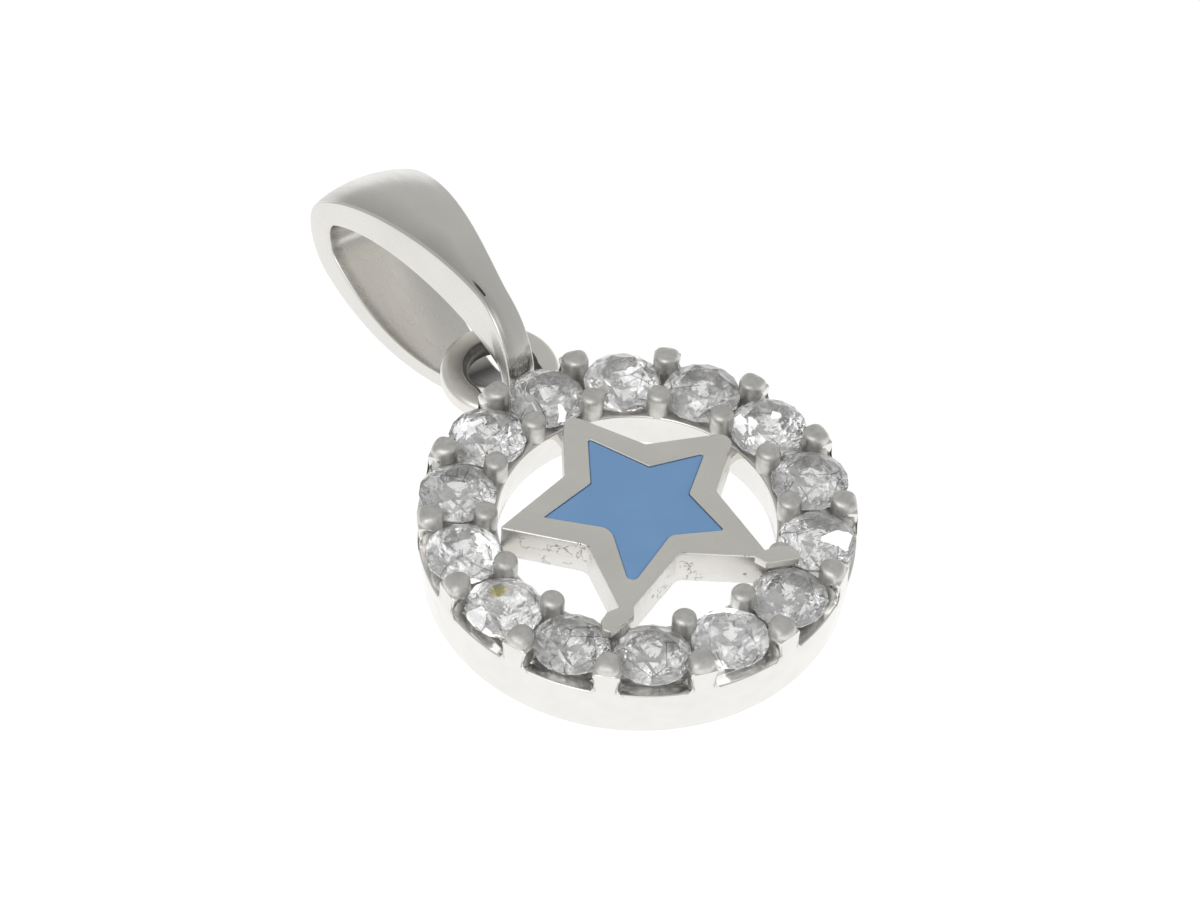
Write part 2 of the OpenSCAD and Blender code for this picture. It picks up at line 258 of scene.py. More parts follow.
def piece(name, patches, finishes, node, sharp=32.0):
    """A mesh from patches. A patch is a grid of points, the number of its finish and, where a
    pattern follows the surface, its grid of u and v. Rows that meet are merged, and the faces are
    turned outwards."""
    points, quads, numbers, uvs, start = [], [], [], [], 0
    for grid, number, *uv in patches:
        rows, columns = grid.shape[:2]
        index = start + np.arange(rows*columns).reshape(rows, columns)
        corners = [index[:-1, :-1], index[1:, :-1], index[1:, 1:], index[:-1, 1:]]
        cells = np.stack(corners, axis=-1).reshape(-1, 4)
        points.append(grid.reshape(-1, 3))
        quads.append(cells)
        numbers.append(np.full(len(cells), number))
        uvs.append((uv[0] if uv else np.zeros((rows, columns, 2))).reshape(-1, 2))
        start += rows*columns
    quads = np.concatenate(quads)
    mesh = bpy.data.meshes.new(name)
    mesh.from_pydata(lie(np.concatenate(points)), [], quads)
    mesh.polygons.foreach_set("material_index", np.concatenate(numbers).astype(np.int32))
    layer = mesh.uv_layers.new(name="along")
    layer.data.foreach_set("uv", np.concatenate(uvs)[quads.ravel()].astype(np.float32).ravel())
    work = bmesh.new()
    work.from_mesh(mesh)
    bmesh.ops.remove_doubles(work, verts=work.verts, dist=MERGE_M)
    bmesh.ops.dissolve_degenerate(work, edges=work.edges, dist=SHORT_M)
    bmesh.ops.recalc_face_normals(work, faces=work.faces)
    work.to_mesh(mesh)
    work.free()
    mesh.polygons.foreach_set("use_smooth", np.ones(len(mesh.polygons), dtype=bool))
    mesh.set_sharp_from_angle(angle=math.radians(sharp))
    for finish in finishes:
        mesh.materials.append(finish)
    made = bpy.data.objects.new(name, mesh)
    bpy.context.scene.collection.objects.link(made)
    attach(made, "root")
    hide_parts(node)
    return made


# Finishes

class Wire:
    """A shader socket. Python operators on it add Math nodes."""

    def __init__(self, nodes, socket):
        self.nodes = nodes
        self.socket = socket

    def beside(self, name):
        """Another output of the same node."""
        return Wire(self.nodes, self.socket.node.outputs[name])

    def join(self, operation, first, second):
        """A Math node on two values."""
        return self.nodes.add("ShaderNodeMath", {"operation": operation}, {0: first, 1: second})

    def __add__(self, other):
        return self.join("ADD", self, other)

    def __radd__(self, other):
        return self.join("ADD", other, self)

    def __sub__(self, other):
        return self.join("SUBTRACT", self, other)

    def __rsub__(self, other):
        return self.join("SUBTRACT", other, self)

    def __mul__(self, other):
        return self.join("MULTIPLY", self, other)

    def __rmul__(self, other):
        return self.join("MULTIPLY", other, self)


class Nodes:
    """A node tree whose nodes all come from add()."""

    def __init__(self, owner):
        owner.use_nodes = True
        self.tree = owner.node_tree
        self.tree.nodes.clear()

    def add(self, kind, settings=None, sockets=None, out=0):
        """One node: its settings first, then the values or links of its sockets. Returns one of
        its outputs."""
        node = self.tree.nodes.new(kind)
        for key, value in (settings or {}).items():
            if key == "stops":
                for stop, (place, colour) in zip(self.stops(node.color_ramp, len(value)), value):
                    stop.position, stop.color = place, colour
            else:
                setattr(node, key, value)
        for key, value in (sockets or {}).items():
            if isinstance(value, Wire):
                self.tree.links.new(value.socket, node.inputs[key])
            else:
                node.inputs[key].default_value = value
        return Wire(self, node.outputs[out]) if len(node.outputs) else None

    @staticmethod
    def stops(ramp, count):
        """A ramp's stops, as many as asked for."""
        while len(ramp.elements) < count:
            ramp.elements.new(0.5)
        return ramp.elements

    def between(self, value, low, high, new_low=0.0, new_high=1.0):
        """A value from one range to another, clamped."""
        return self.add("ShaderNodeMapRange", {"clamp": True}, {
            "Value": value, "From Min": low, "From Max": high,
            "To Min": new_low, "To Max": new_high})

    def mix(self, share, first, second):
        """A colour between two colours."""
        return self.add("ShaderNodeMix", {"data_type": "RGBA"}, {0: share, 6: first, 7: second},
                        out=2)

    def part(self, axis, vector):
        """A vector's x, y or z, by its number."""
        return self.add("ShaderNodeSeparateXYZ", sockets={0: vector}, out=axis)

    def measure(self, operation, first, second):
        """A number from two vectors, such as their distance."""
        return self.add("ShaderNodeVectorMath", {"operation": operation}, {0: first, 1: second},
                        out="Value")


class Finish(Nodes):
    """A material, with the patterns that its finish is made of."""

    def __init__(self, name):
        self.material = bpy.data.materials.new(name)
        super().__init__(self.material)

    def place(self, stretch=(1, 1, 1), turn=(0, 0, 0), uv=False):
        """Object coordinates, or the piece's own u and v, in millimetres, stretched and turned."""
        if uv:
            source = self.add("ShaderNodeUVMap", {"uv_map": "along"})
            scale = stretch
        else:
            source = self.add("ShaderNodeTexCoord", out="Object")
            scale = tuple(1000*s for s in stretch)
        return self.add("ShaderNodeMapping", sockets={
            "Vector": source, "Scale": scale, "Rotation": turn})

    def noise(self, place, scale, detail=2.0, roughness=0.5, distortion=0.0):
        """Soft random waves round a half."""
        return self.add("ShaderNodeTexNoise", sockets={
            "Vector": place, "Scale": scale, "Detail": detail, "Roughness": roughness,
            "Distortion": distortion})

    def cells(self, place, scale, feature="F1", distance="EUCLIDEAN"):
        """Random cells: the distance from a cell's point or, as a feature, from its edge."""
        return self.add("ShaderNodeTexVoronoi", {"feature": feature, "distance": distance}, {
            "Vector": place, "Scale": scale})

    def bump(self, height, depth_mm):
        """A normal that follows a height."""
        return self.add("ShaderNodeBump", sockets={
            "Height": height, "Distance": depth_mm/1000, "Strength": 1.0})

    def done(self, **sockets):
        """The closing shader, with its sockets named in words joined by underscores."""
        named = {key.replace("_", " "): value for key, value in sockets.items()}
        shader = self.add("ShaderNodeBsdfPrincipled", sockets=named)
        self.add("ShaderNodeOutputMaterial", sockets={"Surface": shader})
        return self.material


def polished_silver():
    """Bright metal: a faint haze of wiping marks and fine random scratches."""
    f = Finish("polished silver")
    clean, hazy = (0.85, 0.835, 0.81, 1), (0.815, 0.80, 0.775, 1)
    haze = f.noise(f.place(), 1.3, 4.0, 0.6)
    lines = f.noise(f.place((1.0, 14.0, 14.0), (0.3, 0.2, 0.9)), 1.6, 3.0)
    return f.done(Base_Color=f.mix(f.between(haze, 0.35, 0.7), clean, hazy), Metallic=1.0,
                  Roughness=f.between(haze, 0.3, 0.75, 0.13, 0.24),
                  Normal=f.bump(lines, 0.0012))


def satin_silver():
    """Brushed metal: long fine lines and slow waves in tone."""
    f = Finish("satin silver")
    light, warm = (0.85, 0.835, 0.785, 1), (0.80, 0.785, 0.735, 1)
    lines = f.noise(f.place((1.2, 22.0, 22.0), (0.0, 0.0, 0.52)), 1.5, 4.0, 0.65)
    waves = f.noise(f.place(), 0.8, 3.0)
    return f.done(Base_Color=f.mix(f.between(waves, 0.3, 0.7), light, warm), Metallic=1.0,
                  Roughness=f.between(lines, 0.3, 0.7, 0.26, 0.4),
                  Normal=f.bump(lines, 0.003))


def bail_silver(inside=False):
    """The bail's metal: fine lines that run along the strap. The inside is painted dark towards the
    loop, as shade. The outside has a soft dark streak along one edge, a painted dark reflection,
    with a short dark mark in it. The mark is where the distance to one place in u and v is small. u
    is stretched ninefold there, so that the mark is long and narrow."""
    f = Finish("bail inside" if inside else "bail silver")
    light, dim = (0.76, 0.745, 0.715, 1), (0.72, 0.705, 0.675, 1)
    shaded, dark_reflection, marked = ((0.02, 0.018, 0.016, 1), (0.56, 0.545, 0.515, 1),
                                (0.1, 0.095, 0.09, 1))
    lines = f.noise(f.place((9.0, 0.5, 1.0), uv=True), 1.5, 3.0, 0.55)
    waves = f.noise(f.place(), 0.55, 3.0)
    tone = f.mix(f.between(waves, 0.3, 0.7), light, dim)
    if inside:
        # Painted shade: the inside turns near black towards the loop
        tone = f.mix(f.between(f.part(1, f.place()), 3.6, 4.6), shaded, tone)
    else:
        # Painted dark reflection: a soft streak along one edge of the outer face
        dark_reflection_mask = f.part(0, f.place(uv=True)) + 0.3*waves
        tone = f.mix(f.between(dark_reflection_mask, 0.17, 0.42), dark_reflection, tone)
        mark = f.measure("DISTANCE", f.place((9.0, 1.0, 1.0), uv=True), (0.8, 22.0, 0.0))
        tone = f.mix(f.between(mark + 0.3*lines, 0.36, 0.55), marked, tone)
    return f.done(Base_Color=tone, Metallic=1.0,
                  Roughness=f.between(lines, 0.3, 0.7, 0.22, 0.3),
                  Normal=f.bump(lines, 0.0008))


def cast_silver():
    """Metal as it left the mould: grain, a few pits and sparse hair cracks, which run where a wavy
    noise passes its middle value and another noise is high."""
    f = Finish("cast silver")
    flawed, sound = (0.30, 0.28, 0.25, 1), (0.83, 0.815, 0.79, 1)
    place = f.place()
    grain = f.noise(place, 9.0, 5.0, 0.7)
    pits = f.between(f.cells(place, 1.7), 0.04, 0.12)
    wave = f.noise(place, 1.3, 5.0, 0.6, 0.6) - 0.5
    sparse = f.between(f.noise(place, 0.9, 2.0), 0.5, 0.56)
    cracks = 1 - (1 - f.between(wave*wave, 0.0, 0.00008))*sparse
    return f.done(Base_Color=f.mix(pits*cracks, flawed, sound), Metallic=1.0,
                  Roughness=f.between(grain, 0.3, 0.7, 0.3, 0.46),
                  Normal=f.bump(grain*0.5 + pits*0.6 + cracks*0.5, 0.012))


def blue_enamel():
    """Opaque glossy enamel with a barely uneven surface."""
    f = Finish("blue enamel")
    deep, pale = (0.183, 0.376, 0.69, 1), (0.2, 0.404, 0.728, 1)
    place = f.place()
    cloud = f.noise(place, 0.7, 3.0)
    return f.done(Base_Color=f.mix(f.between(cloud, 0.3, 0.7), deep, pale),
                  Roughness=f.between(cloud, 0.3, 0.7, 0.1, 0.16),
                  Coat_Weight=0.6, Coat_Roughness=0.05,
                  Normal=f.bump(f.noise(place, 0.9, 2.0), 0.006))


def clear_stone():
    """Colourless cut stone of high refraction, a little cloudy: fine rifts, shards that tilt the
    light, some of which glow white as painted flashes, and in one stone a painted yellow glint."""
    f = Finish("clear stone")
    clear, cloudy = (1.0, 1.0, 1.0, 1), (0.84, 0.85, 0.86, 1)
    rifted, yellow = (0.12, 0.12, 0.12, 1), (0.95, 0.85, 0.2, 1)
    dark, white = (0, 0, 0, 1), (0.75, 0.75, 0.75, 1)
    place = f.place()
    cloud = f.noise(place, 3.6, 3.0, 0.75)
    tone = f.mix(f.between(cloud, 0.4, 0.65), clear, cloudy)
    edges = f.cells(f.place(turn=(0.4, 0.2, 0.3)), 1.15, "DISTANCE_TO_EDGE")
    sparse = f.between(f.noise(place, 1.1, 0.0), 0.48, 0.52)
    tone = f.mix(1 - (1 - f.between(edges, 0.006, 0.024))*sparse, rifted, tone)
    # Painted yellow glint: a yellow spot in one stone
    glint = f.measure("DISTANCE", place, tuple(lie(np.array(YELLOW_GLINT))*1000))
    tone = f.mix(f.between(glint + 0.5*cloud, 0.42, 0.5), yellow, tone)
    shards = f.cells(place, 1.9, distance="MANHATTAN")
    # Painted flashes: a few random shards glow white
    painted_flash = f.mix(f.between(shards.beside("Color"), 0.875, 0.88), dark, white)
    return f.done(Base_Color=tone, Roughness=f.between(cloud, 0.4, 0.65, 0.0, 0.07), IOR=2.1,
                  Transmission_Weight=0.85, Emission_Color=painted_flash, Emission_Strength=1.0,
                  Normal=f.bump(shards + 0.22*cloud, 0.03))


def ledge_silver():
    """Smooth metal, painted darker as the scallops' shade."""
    f = Finish("ledge silver")
    light, dim = (0.70, 0.675, 0.65, 1), (0.60, 0.575, 0.55, 1)
    blotches = f.noise(f.place(), 1.5, 3.0, 0.6)
    return f.done(Base_Color=f.mix(f.between(blotches, 0.35, 0.65), light, dim), Metallic=1.0,
                  Roughness=0.36, Normal=f.bump(blotches, 0.002))


def grip_silver():
    """The prongs' metal: hammered and filed by hand, rougher, and painted greyer as shade."""
    f = Finish("grip silver")
    light, dim = (0.76, 0.755, 0.73, 1), (0.60, 0.595, 0.57, 1)
    marks = f.noise(f.place(), 4.0, 5.0, 0.65)
    return f.done(Base_Color=f.mix(f.between(marks, 0.35, 0.65), light, dim), Metallic=1.0,
                  Roughness=f.between(marks, 0.3, 0.7, 0.4, 0.52),
                  Normal=f.bump(marks, 0.016))


def dull_shaded_silver():
    """Metal where no brush reaches: rougher, and painted dark as shade, in blotches."""
    f = Finish("dull shaded silver")
    light_shade, deep_shade = (0.27, 0.26, 0.245, 1), (0.15, 0.14, 0.13, 1)
    blotches = f.noise(f.place(), 3.0, 4.0, 0.6)
    return f.done(Base_Color=f.mix(f.between(blotches, 0.35, 0.65), light_shade, deep_shade), Metallic=1.0,
                  Roughness=0.5, Normal=f.bump(blotches, 0.006))


POLISHED = polished_silver()
SATIN = satin_silver()
STRAP = bail_silver()
STRAP_INSIDE = bail_silver(True)
CAST = cast_silver()
ENAMEL = blue_enamel()
CLEAR = clear_stone()
DULL_SHADE = dull_shaded_silver()
LEDGE = ledge_silver()
GRIP = grip_silver()


# Halo

def rim_path():
    """The rim over half a stone, from the scallop's middle to the prong's middle, as arc length
    round the band and height: a floor, a round corner, the prong's side, which spreads a little,
    and its round top corner. The points are spaced evenly along it."""
    half = BAND_TOP_R*STEP/2
    side = half - PRONG_W/2 + PRONG_IN
    low, high = SCALLOP_CORNER_R, PRONG_CORNER_R
    a, b = quarter(12), quarter(8)
    corner = np.stack([side - low + low*np.sin(a), BAND_H + low - low*np.cos(a)], axis=-1)
    shoulder = np.stack([side - PRONG_SPREAD + high - high*np.cos(b),
                         PRONG_FACE_TOP - high + high*np.sin(b)], axis=-1)
    path = np.concatenate([[[0, BAND_H]], corner, shoulder, [[half, PRONG_FACE_TOP]]])
    steps = np.linalg.norm(np.diff(path, axis=0), axis=1)
    run = np.concatenate([[0], np.cumsum(steps)])
    t = np.linspace(0, run[-1], BAND_COLUMNS + 1)
    return np.stack([np.interp(t, run, path[:, 0]), np.interp(t, run, path[:, 1])], axis=-1)


def band_radius(z):
    """The band's outer radius at a height: a cone up to the scallops, upright above them."""
    share = np.clip((z - BAND_EDGE_R)/(BAND_H - BAND_EDGE_R), 0, 1)
    return BAND_BASE_R + (BAND_TOP_R - BAND_BASE_R)*share


def halo_band():
    """One stone's share of the band. Columns follow the rim; rows run from the skirt's inside over
    the foot, up the outer face, over the rim, whose edges are rounded at right angles to it, and
    down to the ledge."""
    half = rim_path()
    rim = np.concatenate([half[::-1]*[-1, 1], half[1:]])
    along = np.gradient(rim, axis=0)
    along /= np.linalg.norm(along, axis=1)[:, None]
    away = np.stack([-along[:, 1], along[:, 0]], axis=-1)
    edge = rim - RIM_SOFT*away
    base = np.linspace(-STEP/2, STEP/2, len(rim))
    # The skirt's inside, its lower edge and the foot with its outer edge
    rows = [(base, SKIRT_IN_R, PLATE_Z), (base, SKIRT_IN_R, PLATE_Z/2)]
    rows += [(base, SKIRT_IN_R + FOOT_SOFT*(1 - math.cos(a)), FOOT_SOFT*(1 - math.sin(a)))
             for a in quarter(3)]
    rows += [(base, BAND_BASE_R - BAND_EDGE_R*(1 - math.sin(a)), BAND_EDGE_R*(1 - math.cos(a)))
             for a in quarter(6)]
    # The outer face: level rows up to just under the scallops, then rows that close in on the rim
    rows += [(base, band_radius(z), z) for z in np.linspace(BAND_EDGE_R, LEVEL_TOP, 9)[1:]]
    for s in np.linspace(0, 1, 9)[1:]:
        z = LEVEL_TOP + (edge[:, 1] - LEVEL_TOP)*s
        ease = s*s*(3 - 2*s)
        rows.append((base + (edge[:, 0]/BAND_TOP_R - base)*ease, band_radius(z), z))
    # Over the rim
    for a in quarter(4)[1:]:
        line = rim - RIM_SOFT*(1 - math.sin(a))*away
        radius = band_radius(line[:, 1]) - RIM_SOFT*(1 - math.cos(a))
        rows.append((line[:, 0]/BAND_TOP_R, radius, line[:, 1]))
    for a in quarter(4):
        line = rim - RIM_SOFT*(1 - math.cos(a))*away
        radius = SCALLOP_WALL_R + RIM_SOFT*(1 - math.sin(a))
        rows.append((line[:, 0]/BAND_TOP_R, radius, line[:, 1]))
    # Down the wall's inside to the ledge
    angle = edge[:, 0]/BAND_TOP_R
    rows += [(angle + (base - angle)*s, SCALLOP_WALL_R, edge[:, 1] + (LEDGE_Z - edge[:, 1])*s)
             for s in np.linspace(0, 1, 5)[1:]]
    return np.stack([round_point(*row) for row in rows])


def plate_share(outer, height, rows):
    """One stone's share of the plate: rows run from the drilled hole's edge to the share's outline,
    the height is a function of the place."""
    inner, side_steps = INNER_WALL_R + WALL_SOFT, 10
    angles = np.linspace(-STEP/2, STEP/2, 2*BAND_COLUMNS + 1)
    radii = np.linspace(inner, outer, side_steps + 1)
    angle = np.concatenate([angles, np.full(side_steps - 1, STEP/2), angles[::-1],
                            np.full(side_steps, -STEP/2)])
    radius = np.concatenate([np.full(len(angles), outer), radii[::-1][1:-1],
                             np.full(len(angles), inner), radii[1:]])
    rim = np.stack([radius*np.sin(angle), radius*np.cos(angle)], axis=-1)
    centre = np.array([0, RING_R])
    away = rim - centre
    hole = centre + DRILL_R*away/np.linalg.norm(away, axis=1)[:, None]
    share = np.linspace(0, 1, rows + 1)[:, None, None]
    flat = hole + (rim - hole)*share
    return np.concatenate([flat, height(flat)[..., None]], axis=-1)


def seat_height(flat):
    """Height of the plate's upper face: the lower of its own profile and the seat's cone."""
    r = np.linalg.norm(flat, axis=-1)
    away = np.linalg.norm(flat - [0, RING_R], axis=-1)
    profile = np.interp(r, [INNER_WALL_R, PLATE_EDGE_R, LEDGE_R, BAND_TOP_R],
                        [INNER_WALL_TOP, INNER_WALL_TOP, LEDGE_Z, LEDGE_Z])
    slope = (GIRDLE_Z - SEAT_GAP - DRILL_TOP)/(STONE_R + SEAT_GAP - DRILL_R)
    return np.minimum(profile, DRILL_TOP + slope*(away - DRILL_R))


def back_height(flat):
    """Height of the plate's lower face: level."""
    return np.full(flat.shape[:-1], PLATE_Z)


def build_halo():
    """The band, the plate with its seats and drilled holes, and the inner wall with round edges."""
    band = halo_band()
    upper = plate_share(SCALLOP_WALL_R, seat_height, 9)
    lower = plate_share(SKIRT_IN_R, back_height, 5)
    bore = np.stack([upper[0], lower[0]])
    base = np.linspace(-STEP/2, STEP/2, 2*BAND_COLUMNS + 1)
    wall = [(INNER_WALL_R + WALL_SOFT*(1 - math.sin(a)), PLATE_Z + WALL_SOFT*(1 - math.cos(a)))
            for a in quarter(3)]
    wall += [(INNER_WALL_R + WALL_SOFT*(1 - math.cos(a)),
              INNER_WALL_TOP - WALL_SOFT*(1 - math.sin(a))) for a in quarter(3)]
    inside = np.stack([round_point(base, r, z) for r, z in wall])
    # The seats are polished, and the plate's outer rows, in the scallops' shade, get a darker
    # finish as painted shade
    parts = ((band, 0), (upper[:7], 0), (upper[6:], 2), (lower, 1), (bore, 0), (inside, 0))
    patches = [(copy, number) for part, number in parts for copy in round_halo(part)]
    return piece("halo_band", patches, [POLISHED, CAST, LEDGE], "setting")


def prong(distance, half_w, out, inward, shoulder, dome, lean, square, flat):
    """A post with a blunt tip. Its section is an oval whose outer half is squared by the power
    square; above the shoulder it shrinks as the cosine to the power flat while it rises as the sine
    to the same power, and its middle leans inwards."""
    turn = np.linspace(0, 2*math.pi, 33)
    rise = quarter(14)
    scale = np.concatenate([[1.0, 1.0, 1.0], np.maximum(np.cos(rise[1:]), 0)**flat])
    height = np.concatenate([np.linspace(PRONG_FOOT, shoulder, 3),
                             shoulder + dome*np.sin(rise[1:])**flat])
    shift = np.concatenate([[0, 0, 0], -lean*np.sin(rise[1:])**2])
    power = np.where(np.sin(turn) > 0, 2/square, 1.0)
    x = half_w*np.sign(np.cos(turn))*np.abs(np.cos(turn))**power
    y = np.where(np.sin(turn) > 0, out, inward)*np.sign(np.sin(turn))*np.abs(np.sin(turn))**power
    return np.stack([scale[:, None]*x, distance + shift[:, None] + scale[:, None]*y,
                     np.repeat(height[:, None], len(turn), axis=1)], axis=-1)


def build_prongs():
    """Fourteen outer and twelve inner prongs. In the other two inner places, at the star's lower
    points, a low flat foot stands under each lug."""
    outer = prong(OUTER_PRONG_AT, half_w=0.335, out=0.315, inward=0.35, shoulder=2.28, dome=0.28,
                  lean=0.1, square=3.0, flat=0.72)
    inner = prong(INNER_PRONG_AT, half_w=0.32, out=0.31, inward=0.31, shoulder=2.36, dome=0.24,
                  lean=0.0, square=2.0, flat=0.65)
    foot = prong(INNER_PRONG_AT, half_w=0.3, out=0.28, inward=0.31, shoulder=2.42, dome=0.12,
                 lean=0.0, square=2.6, flat=0.55)
    inners = [turned(foot if k in LUG_PRONGS else inner, (k + 0.5)*STEP) for k in range(STONES)]
    piece("outer_prongs", [(p, 0) for p in round_halo(outer, 0.5)], [GRIP], "setting")
    piece("inner_prongs", [(p, 0) for p in inners], [GRIP], "setting")


# Star

def rounded(corners, inset=0.0):
    """A polygon's outline, clockwise from above. A corner is its distance from the centre, its
    angle in degrees from +Y and its rounding. The sides move inwards by inset, which takes it off
    the outer corners' rounding and adds it to the inner corners'. Each corner's circle lies on its
    bisector, and straight sides join the circles."""
    r, angle, bend = np.array(corners).T
    spots = np.stack([r*np.sin(np.radians(angle)), r*np.cos(np.radians(angle))], axis=-1)
    after = np.roll(spots, -1, axis=0) - spots
    after /= np.linalg.norm(after, axis=1)[:, None]
    n_after = np.stack([after[:, 1], -after[:, 0]], axis=-1)
    n_before = np.roll(n_after, 1, axis=0)
    reach = (n_before + n_after)/(1 + (n_before*n_after).sum(axis=1))[:, None]
    outer = np.sign((n_before*after).sum(axis=1))
    bend = np.maximum(bend - outer*inset, 0.01)
    centre = spots + reach*(inset + outer*bend)[:, None]
    first = np.arctan2(-outer*n_before[:, 1], -outer*n_before[:, 0])
    last = np.arctan2(-outer*n_after[:, 1], -outer*n_after[:, 0])
    swing = (last - first + math.pi) % (2*math.pi) - math.pi
    t = first[:, None] + swing[:, None]*np.linspace(0, 1, 9)
    arcs = centre[:, None] + bend[:, None, None]*np.stack([np.cos(t), np.sin(t)], axis=-1)
    share = np.linspace(0, 1, 7)[1:-1, None]
    line = []
    for arc, following in zip(arcs, np.roll(arcs, -1, axis=0)):
        line += [arc, arc[-1] + (following[0] - arc[-1])*share]
    line.append(arcs[0][:1])
    return np.concatenate(line)


def frame_ring(inset, z, shrink=1.0):
    """The frame's outline at an inset and a height, shrunk towards the centre."""
    return level(rounded(FRAME_STAR, inset)*shrink, z)


def enamel_ring(inset, z, shrink=1.0):
    """The recess's outline at an inset and a height, shrunk towards the centre."""
    return level(rounded(ENAMEL_STAR, inset)*shrink, z)


def slab(corners, low, high, soft):
    """A closed plate between two heights, with a polygon's rounded outline and upper edge."""
    middle = rounded(corners).mean(axis=0)
    rows = [(0, low, 0.0), (0, low, 1.0), (0, high - soft, 1.0)]
    rows += [(soft*(1 - math.cos(a)), high - soft*(1 - math.sin(a)), 1.0) for a in quarter(4)[1:]]
    rows.append((soft, high, 0.0))
    return np.stack([level(middle + (rounded(corners, inset) - middle)*share, z)
                     for inset, z, share in rows])


def build_star_frame():
    """A closed shell of rings: back, side, rounded upper edge, face, recess wall and floor."""
    soft, lip = STAR_SOFT, RECESS_LIP
    back = [frame_ring(soft, STAR_LOW, s) for s in (0.0, 0.35, 0.7, 1.0)]
    side = [frame_ring(soft*(1 - math.sin(a)), STAR_LOW + soft*(1 - math.cos(a)))
            for a in quarter(3)]
    side += [frame_ring(0, STAR_LOW + (STAR_TOP - STAR_LOW)*s) for s in (0.35, 0.65)]
    side += [frame_ring(soft*(1 - math.cos(a)), STAR_TOP - soft*(1 - math.sin(a)))
             for a in quarter(4)]
    edge, inner = frame_ring(soft, STAR_TOP), enamel_ring(-lip, STAR_TOP)
    face = [edge + (inner - edge)*s for s in np.linspace(0, 1, 5)]
    recess = [enamel_ring(-lip*(1 - math.sin(a)), STAR_TOP - lip*(1 - math.cos(a)))
              for a in quarter(3)]
    recess += [enamel_ring(0, RECESS_Z, s) for s in (1.0, 0.6, 0.0)]
    parts = ((back, 1), ([back[-1]] + side, 1), (face, 0), (recess, 0))
    piece("star_frame", [(np.stack(part), number) for part, number in parts], [SATIN, CAST],
          "setting")


def build_star_roots():
    """Under the two blunt points a root runs on into the halo's wall, and at the lower two points
    a flat lug lies on its foot."""
    roots = [[(r, angle + at, bend) for r, angle, bend in ROOT] for at in (0, ROOT_STEP)]
    twin = [(r, 360 + LUG_TURN - angle, bend) for r, angle, bend in LUG[::-1]]
    parts = [slab(root, STAR_LOW + ROOT_RISE, ROOT_TOP, SLAB_SOFT) for root in roots]
    parts += [slab(lug, LUG_LOW, LUG_TOP, SLAB_SOFT) for lug in (LUG, twin)]
    piece("star_roots", [(part, 0) for part in parts], [SATIN], "setting")


def build_enamel():
    """The enamel fills the recess and sinks a little towards its edge."""
    gap = ENAMEL_GAP
    inset, drop = ENAMEL_SINK[-1]
    rings = [enamel_ring(gap, RECESS_Z + gap, s) for s in (0.0, 0.6, 1.0)]
    rings += [enamel_ring(gap, STAR_TOP - ENAMEL_EDGE_DROP)]
    rings += [enamel_ring(gap + i, STAR_TOP - d) for i, d in ENAMEL_SINK]
    rings += [enamel_ring(gap + inset, STAR_TOP - drop, s) for s in (0.75, 0.4, 0.0)]
    piece("enamel", [(np.stack(rings), 0)], [ENAMEL], "enamel_star", sharp=60)


# Loop

def build_loop():
    """A flat ring with round edges. Its inner radius is the hole's, or that of the bore beside it
    where the bore reaches further."""
    turn = np.linspace(0, 2*math.pi, 129)[:, None]
    half_chord = np.sqrt(np.maximum(LOOP_BORE_R**2 - (LOOP_RUN*np.sin(turn))**2, 0))
    inner = np.maximum(LOOP_HOLE_R, LOOP_RUN*np.cos(turn) + half_chord)
    e, h = LOOP_EDGE_R, LOOP_T/2
    inner_e = np.minimum(e, (LOOP_R - inner)/2)
    corner = quarter(6)
    edges = ((1, 1, corner), (-1, 1, corner[::-1]), (-1, -1, corner), (1, -1, corner[::-1]))
    sections = []
    for sign_r, sign_z, arc in edges:
        middle, bend = (LOOP_R - e, e) if sign_r > 0 else (inner + inner_e, inner_e)
        sections.append(np.stack(np.broadcast_arrays(
            middle + sign_r*bend*np.cos(arc), sign_z*(h - e + e*np.sin(arc)), turn), axis=-1))
    ring = np.concatenate(sections + [sections[0][:, :1]], axis=1)
    r, z, a = ring[..., 0], ring[..., 1], ring[..., 2]
    points = np.stack([r*np.sin(a), LOOP_Y - r*np.cos(a), LOOP_Z + z], axis=-1)
    piece("loop", split(LOOP_DULL_SHADE, points), [SATIN, DULL_SHADE], "setting", sharp=50)


# Bail

def oval_line(oval, steps):
    """The oval as points, with the same count of steps on each of its four arcs: tip, lower, far
    end, upper."""
    tip, far = np.array(oval.tip), np.array(oval.far)
    upper, lower = arc_centre(oval, 1), arc_centre(oval, -1)

    def after(angle, low):
        """The same direction, with full turns added until it is past low."""
        return angle if angle >= low else after(angle + 2*math.pi, low)

    def way(a, b):
        """The direction from b to a."""
        return math.atan2(a[1] - b[1], a[0] - b[0])
    u1 = after(way(tip, upper), 0)
    l1 = after(way(tip, lower), u1)
    l3 = after(way(far, lower), l1)
    u3 = after(way(far, upper), l3)
    arcs = ((tip, oval.tip_r, u1, l1), (lower, oval.lower_r, l1, l3), (far, oval.far_r, l3, u3),
            (upper, oval.upper_r, u3, after(u1, u3)))
    line = []
    for centre, r, start, end in arcs:
        t = start + (end - start)*np.arange(steps)/steps
        line.append(centre + r*np.stack([np.cos(t), np.sin(t)], axis=-1))
    line = np.concatenate(line)
    return np.concatenate([line, line[:1]])


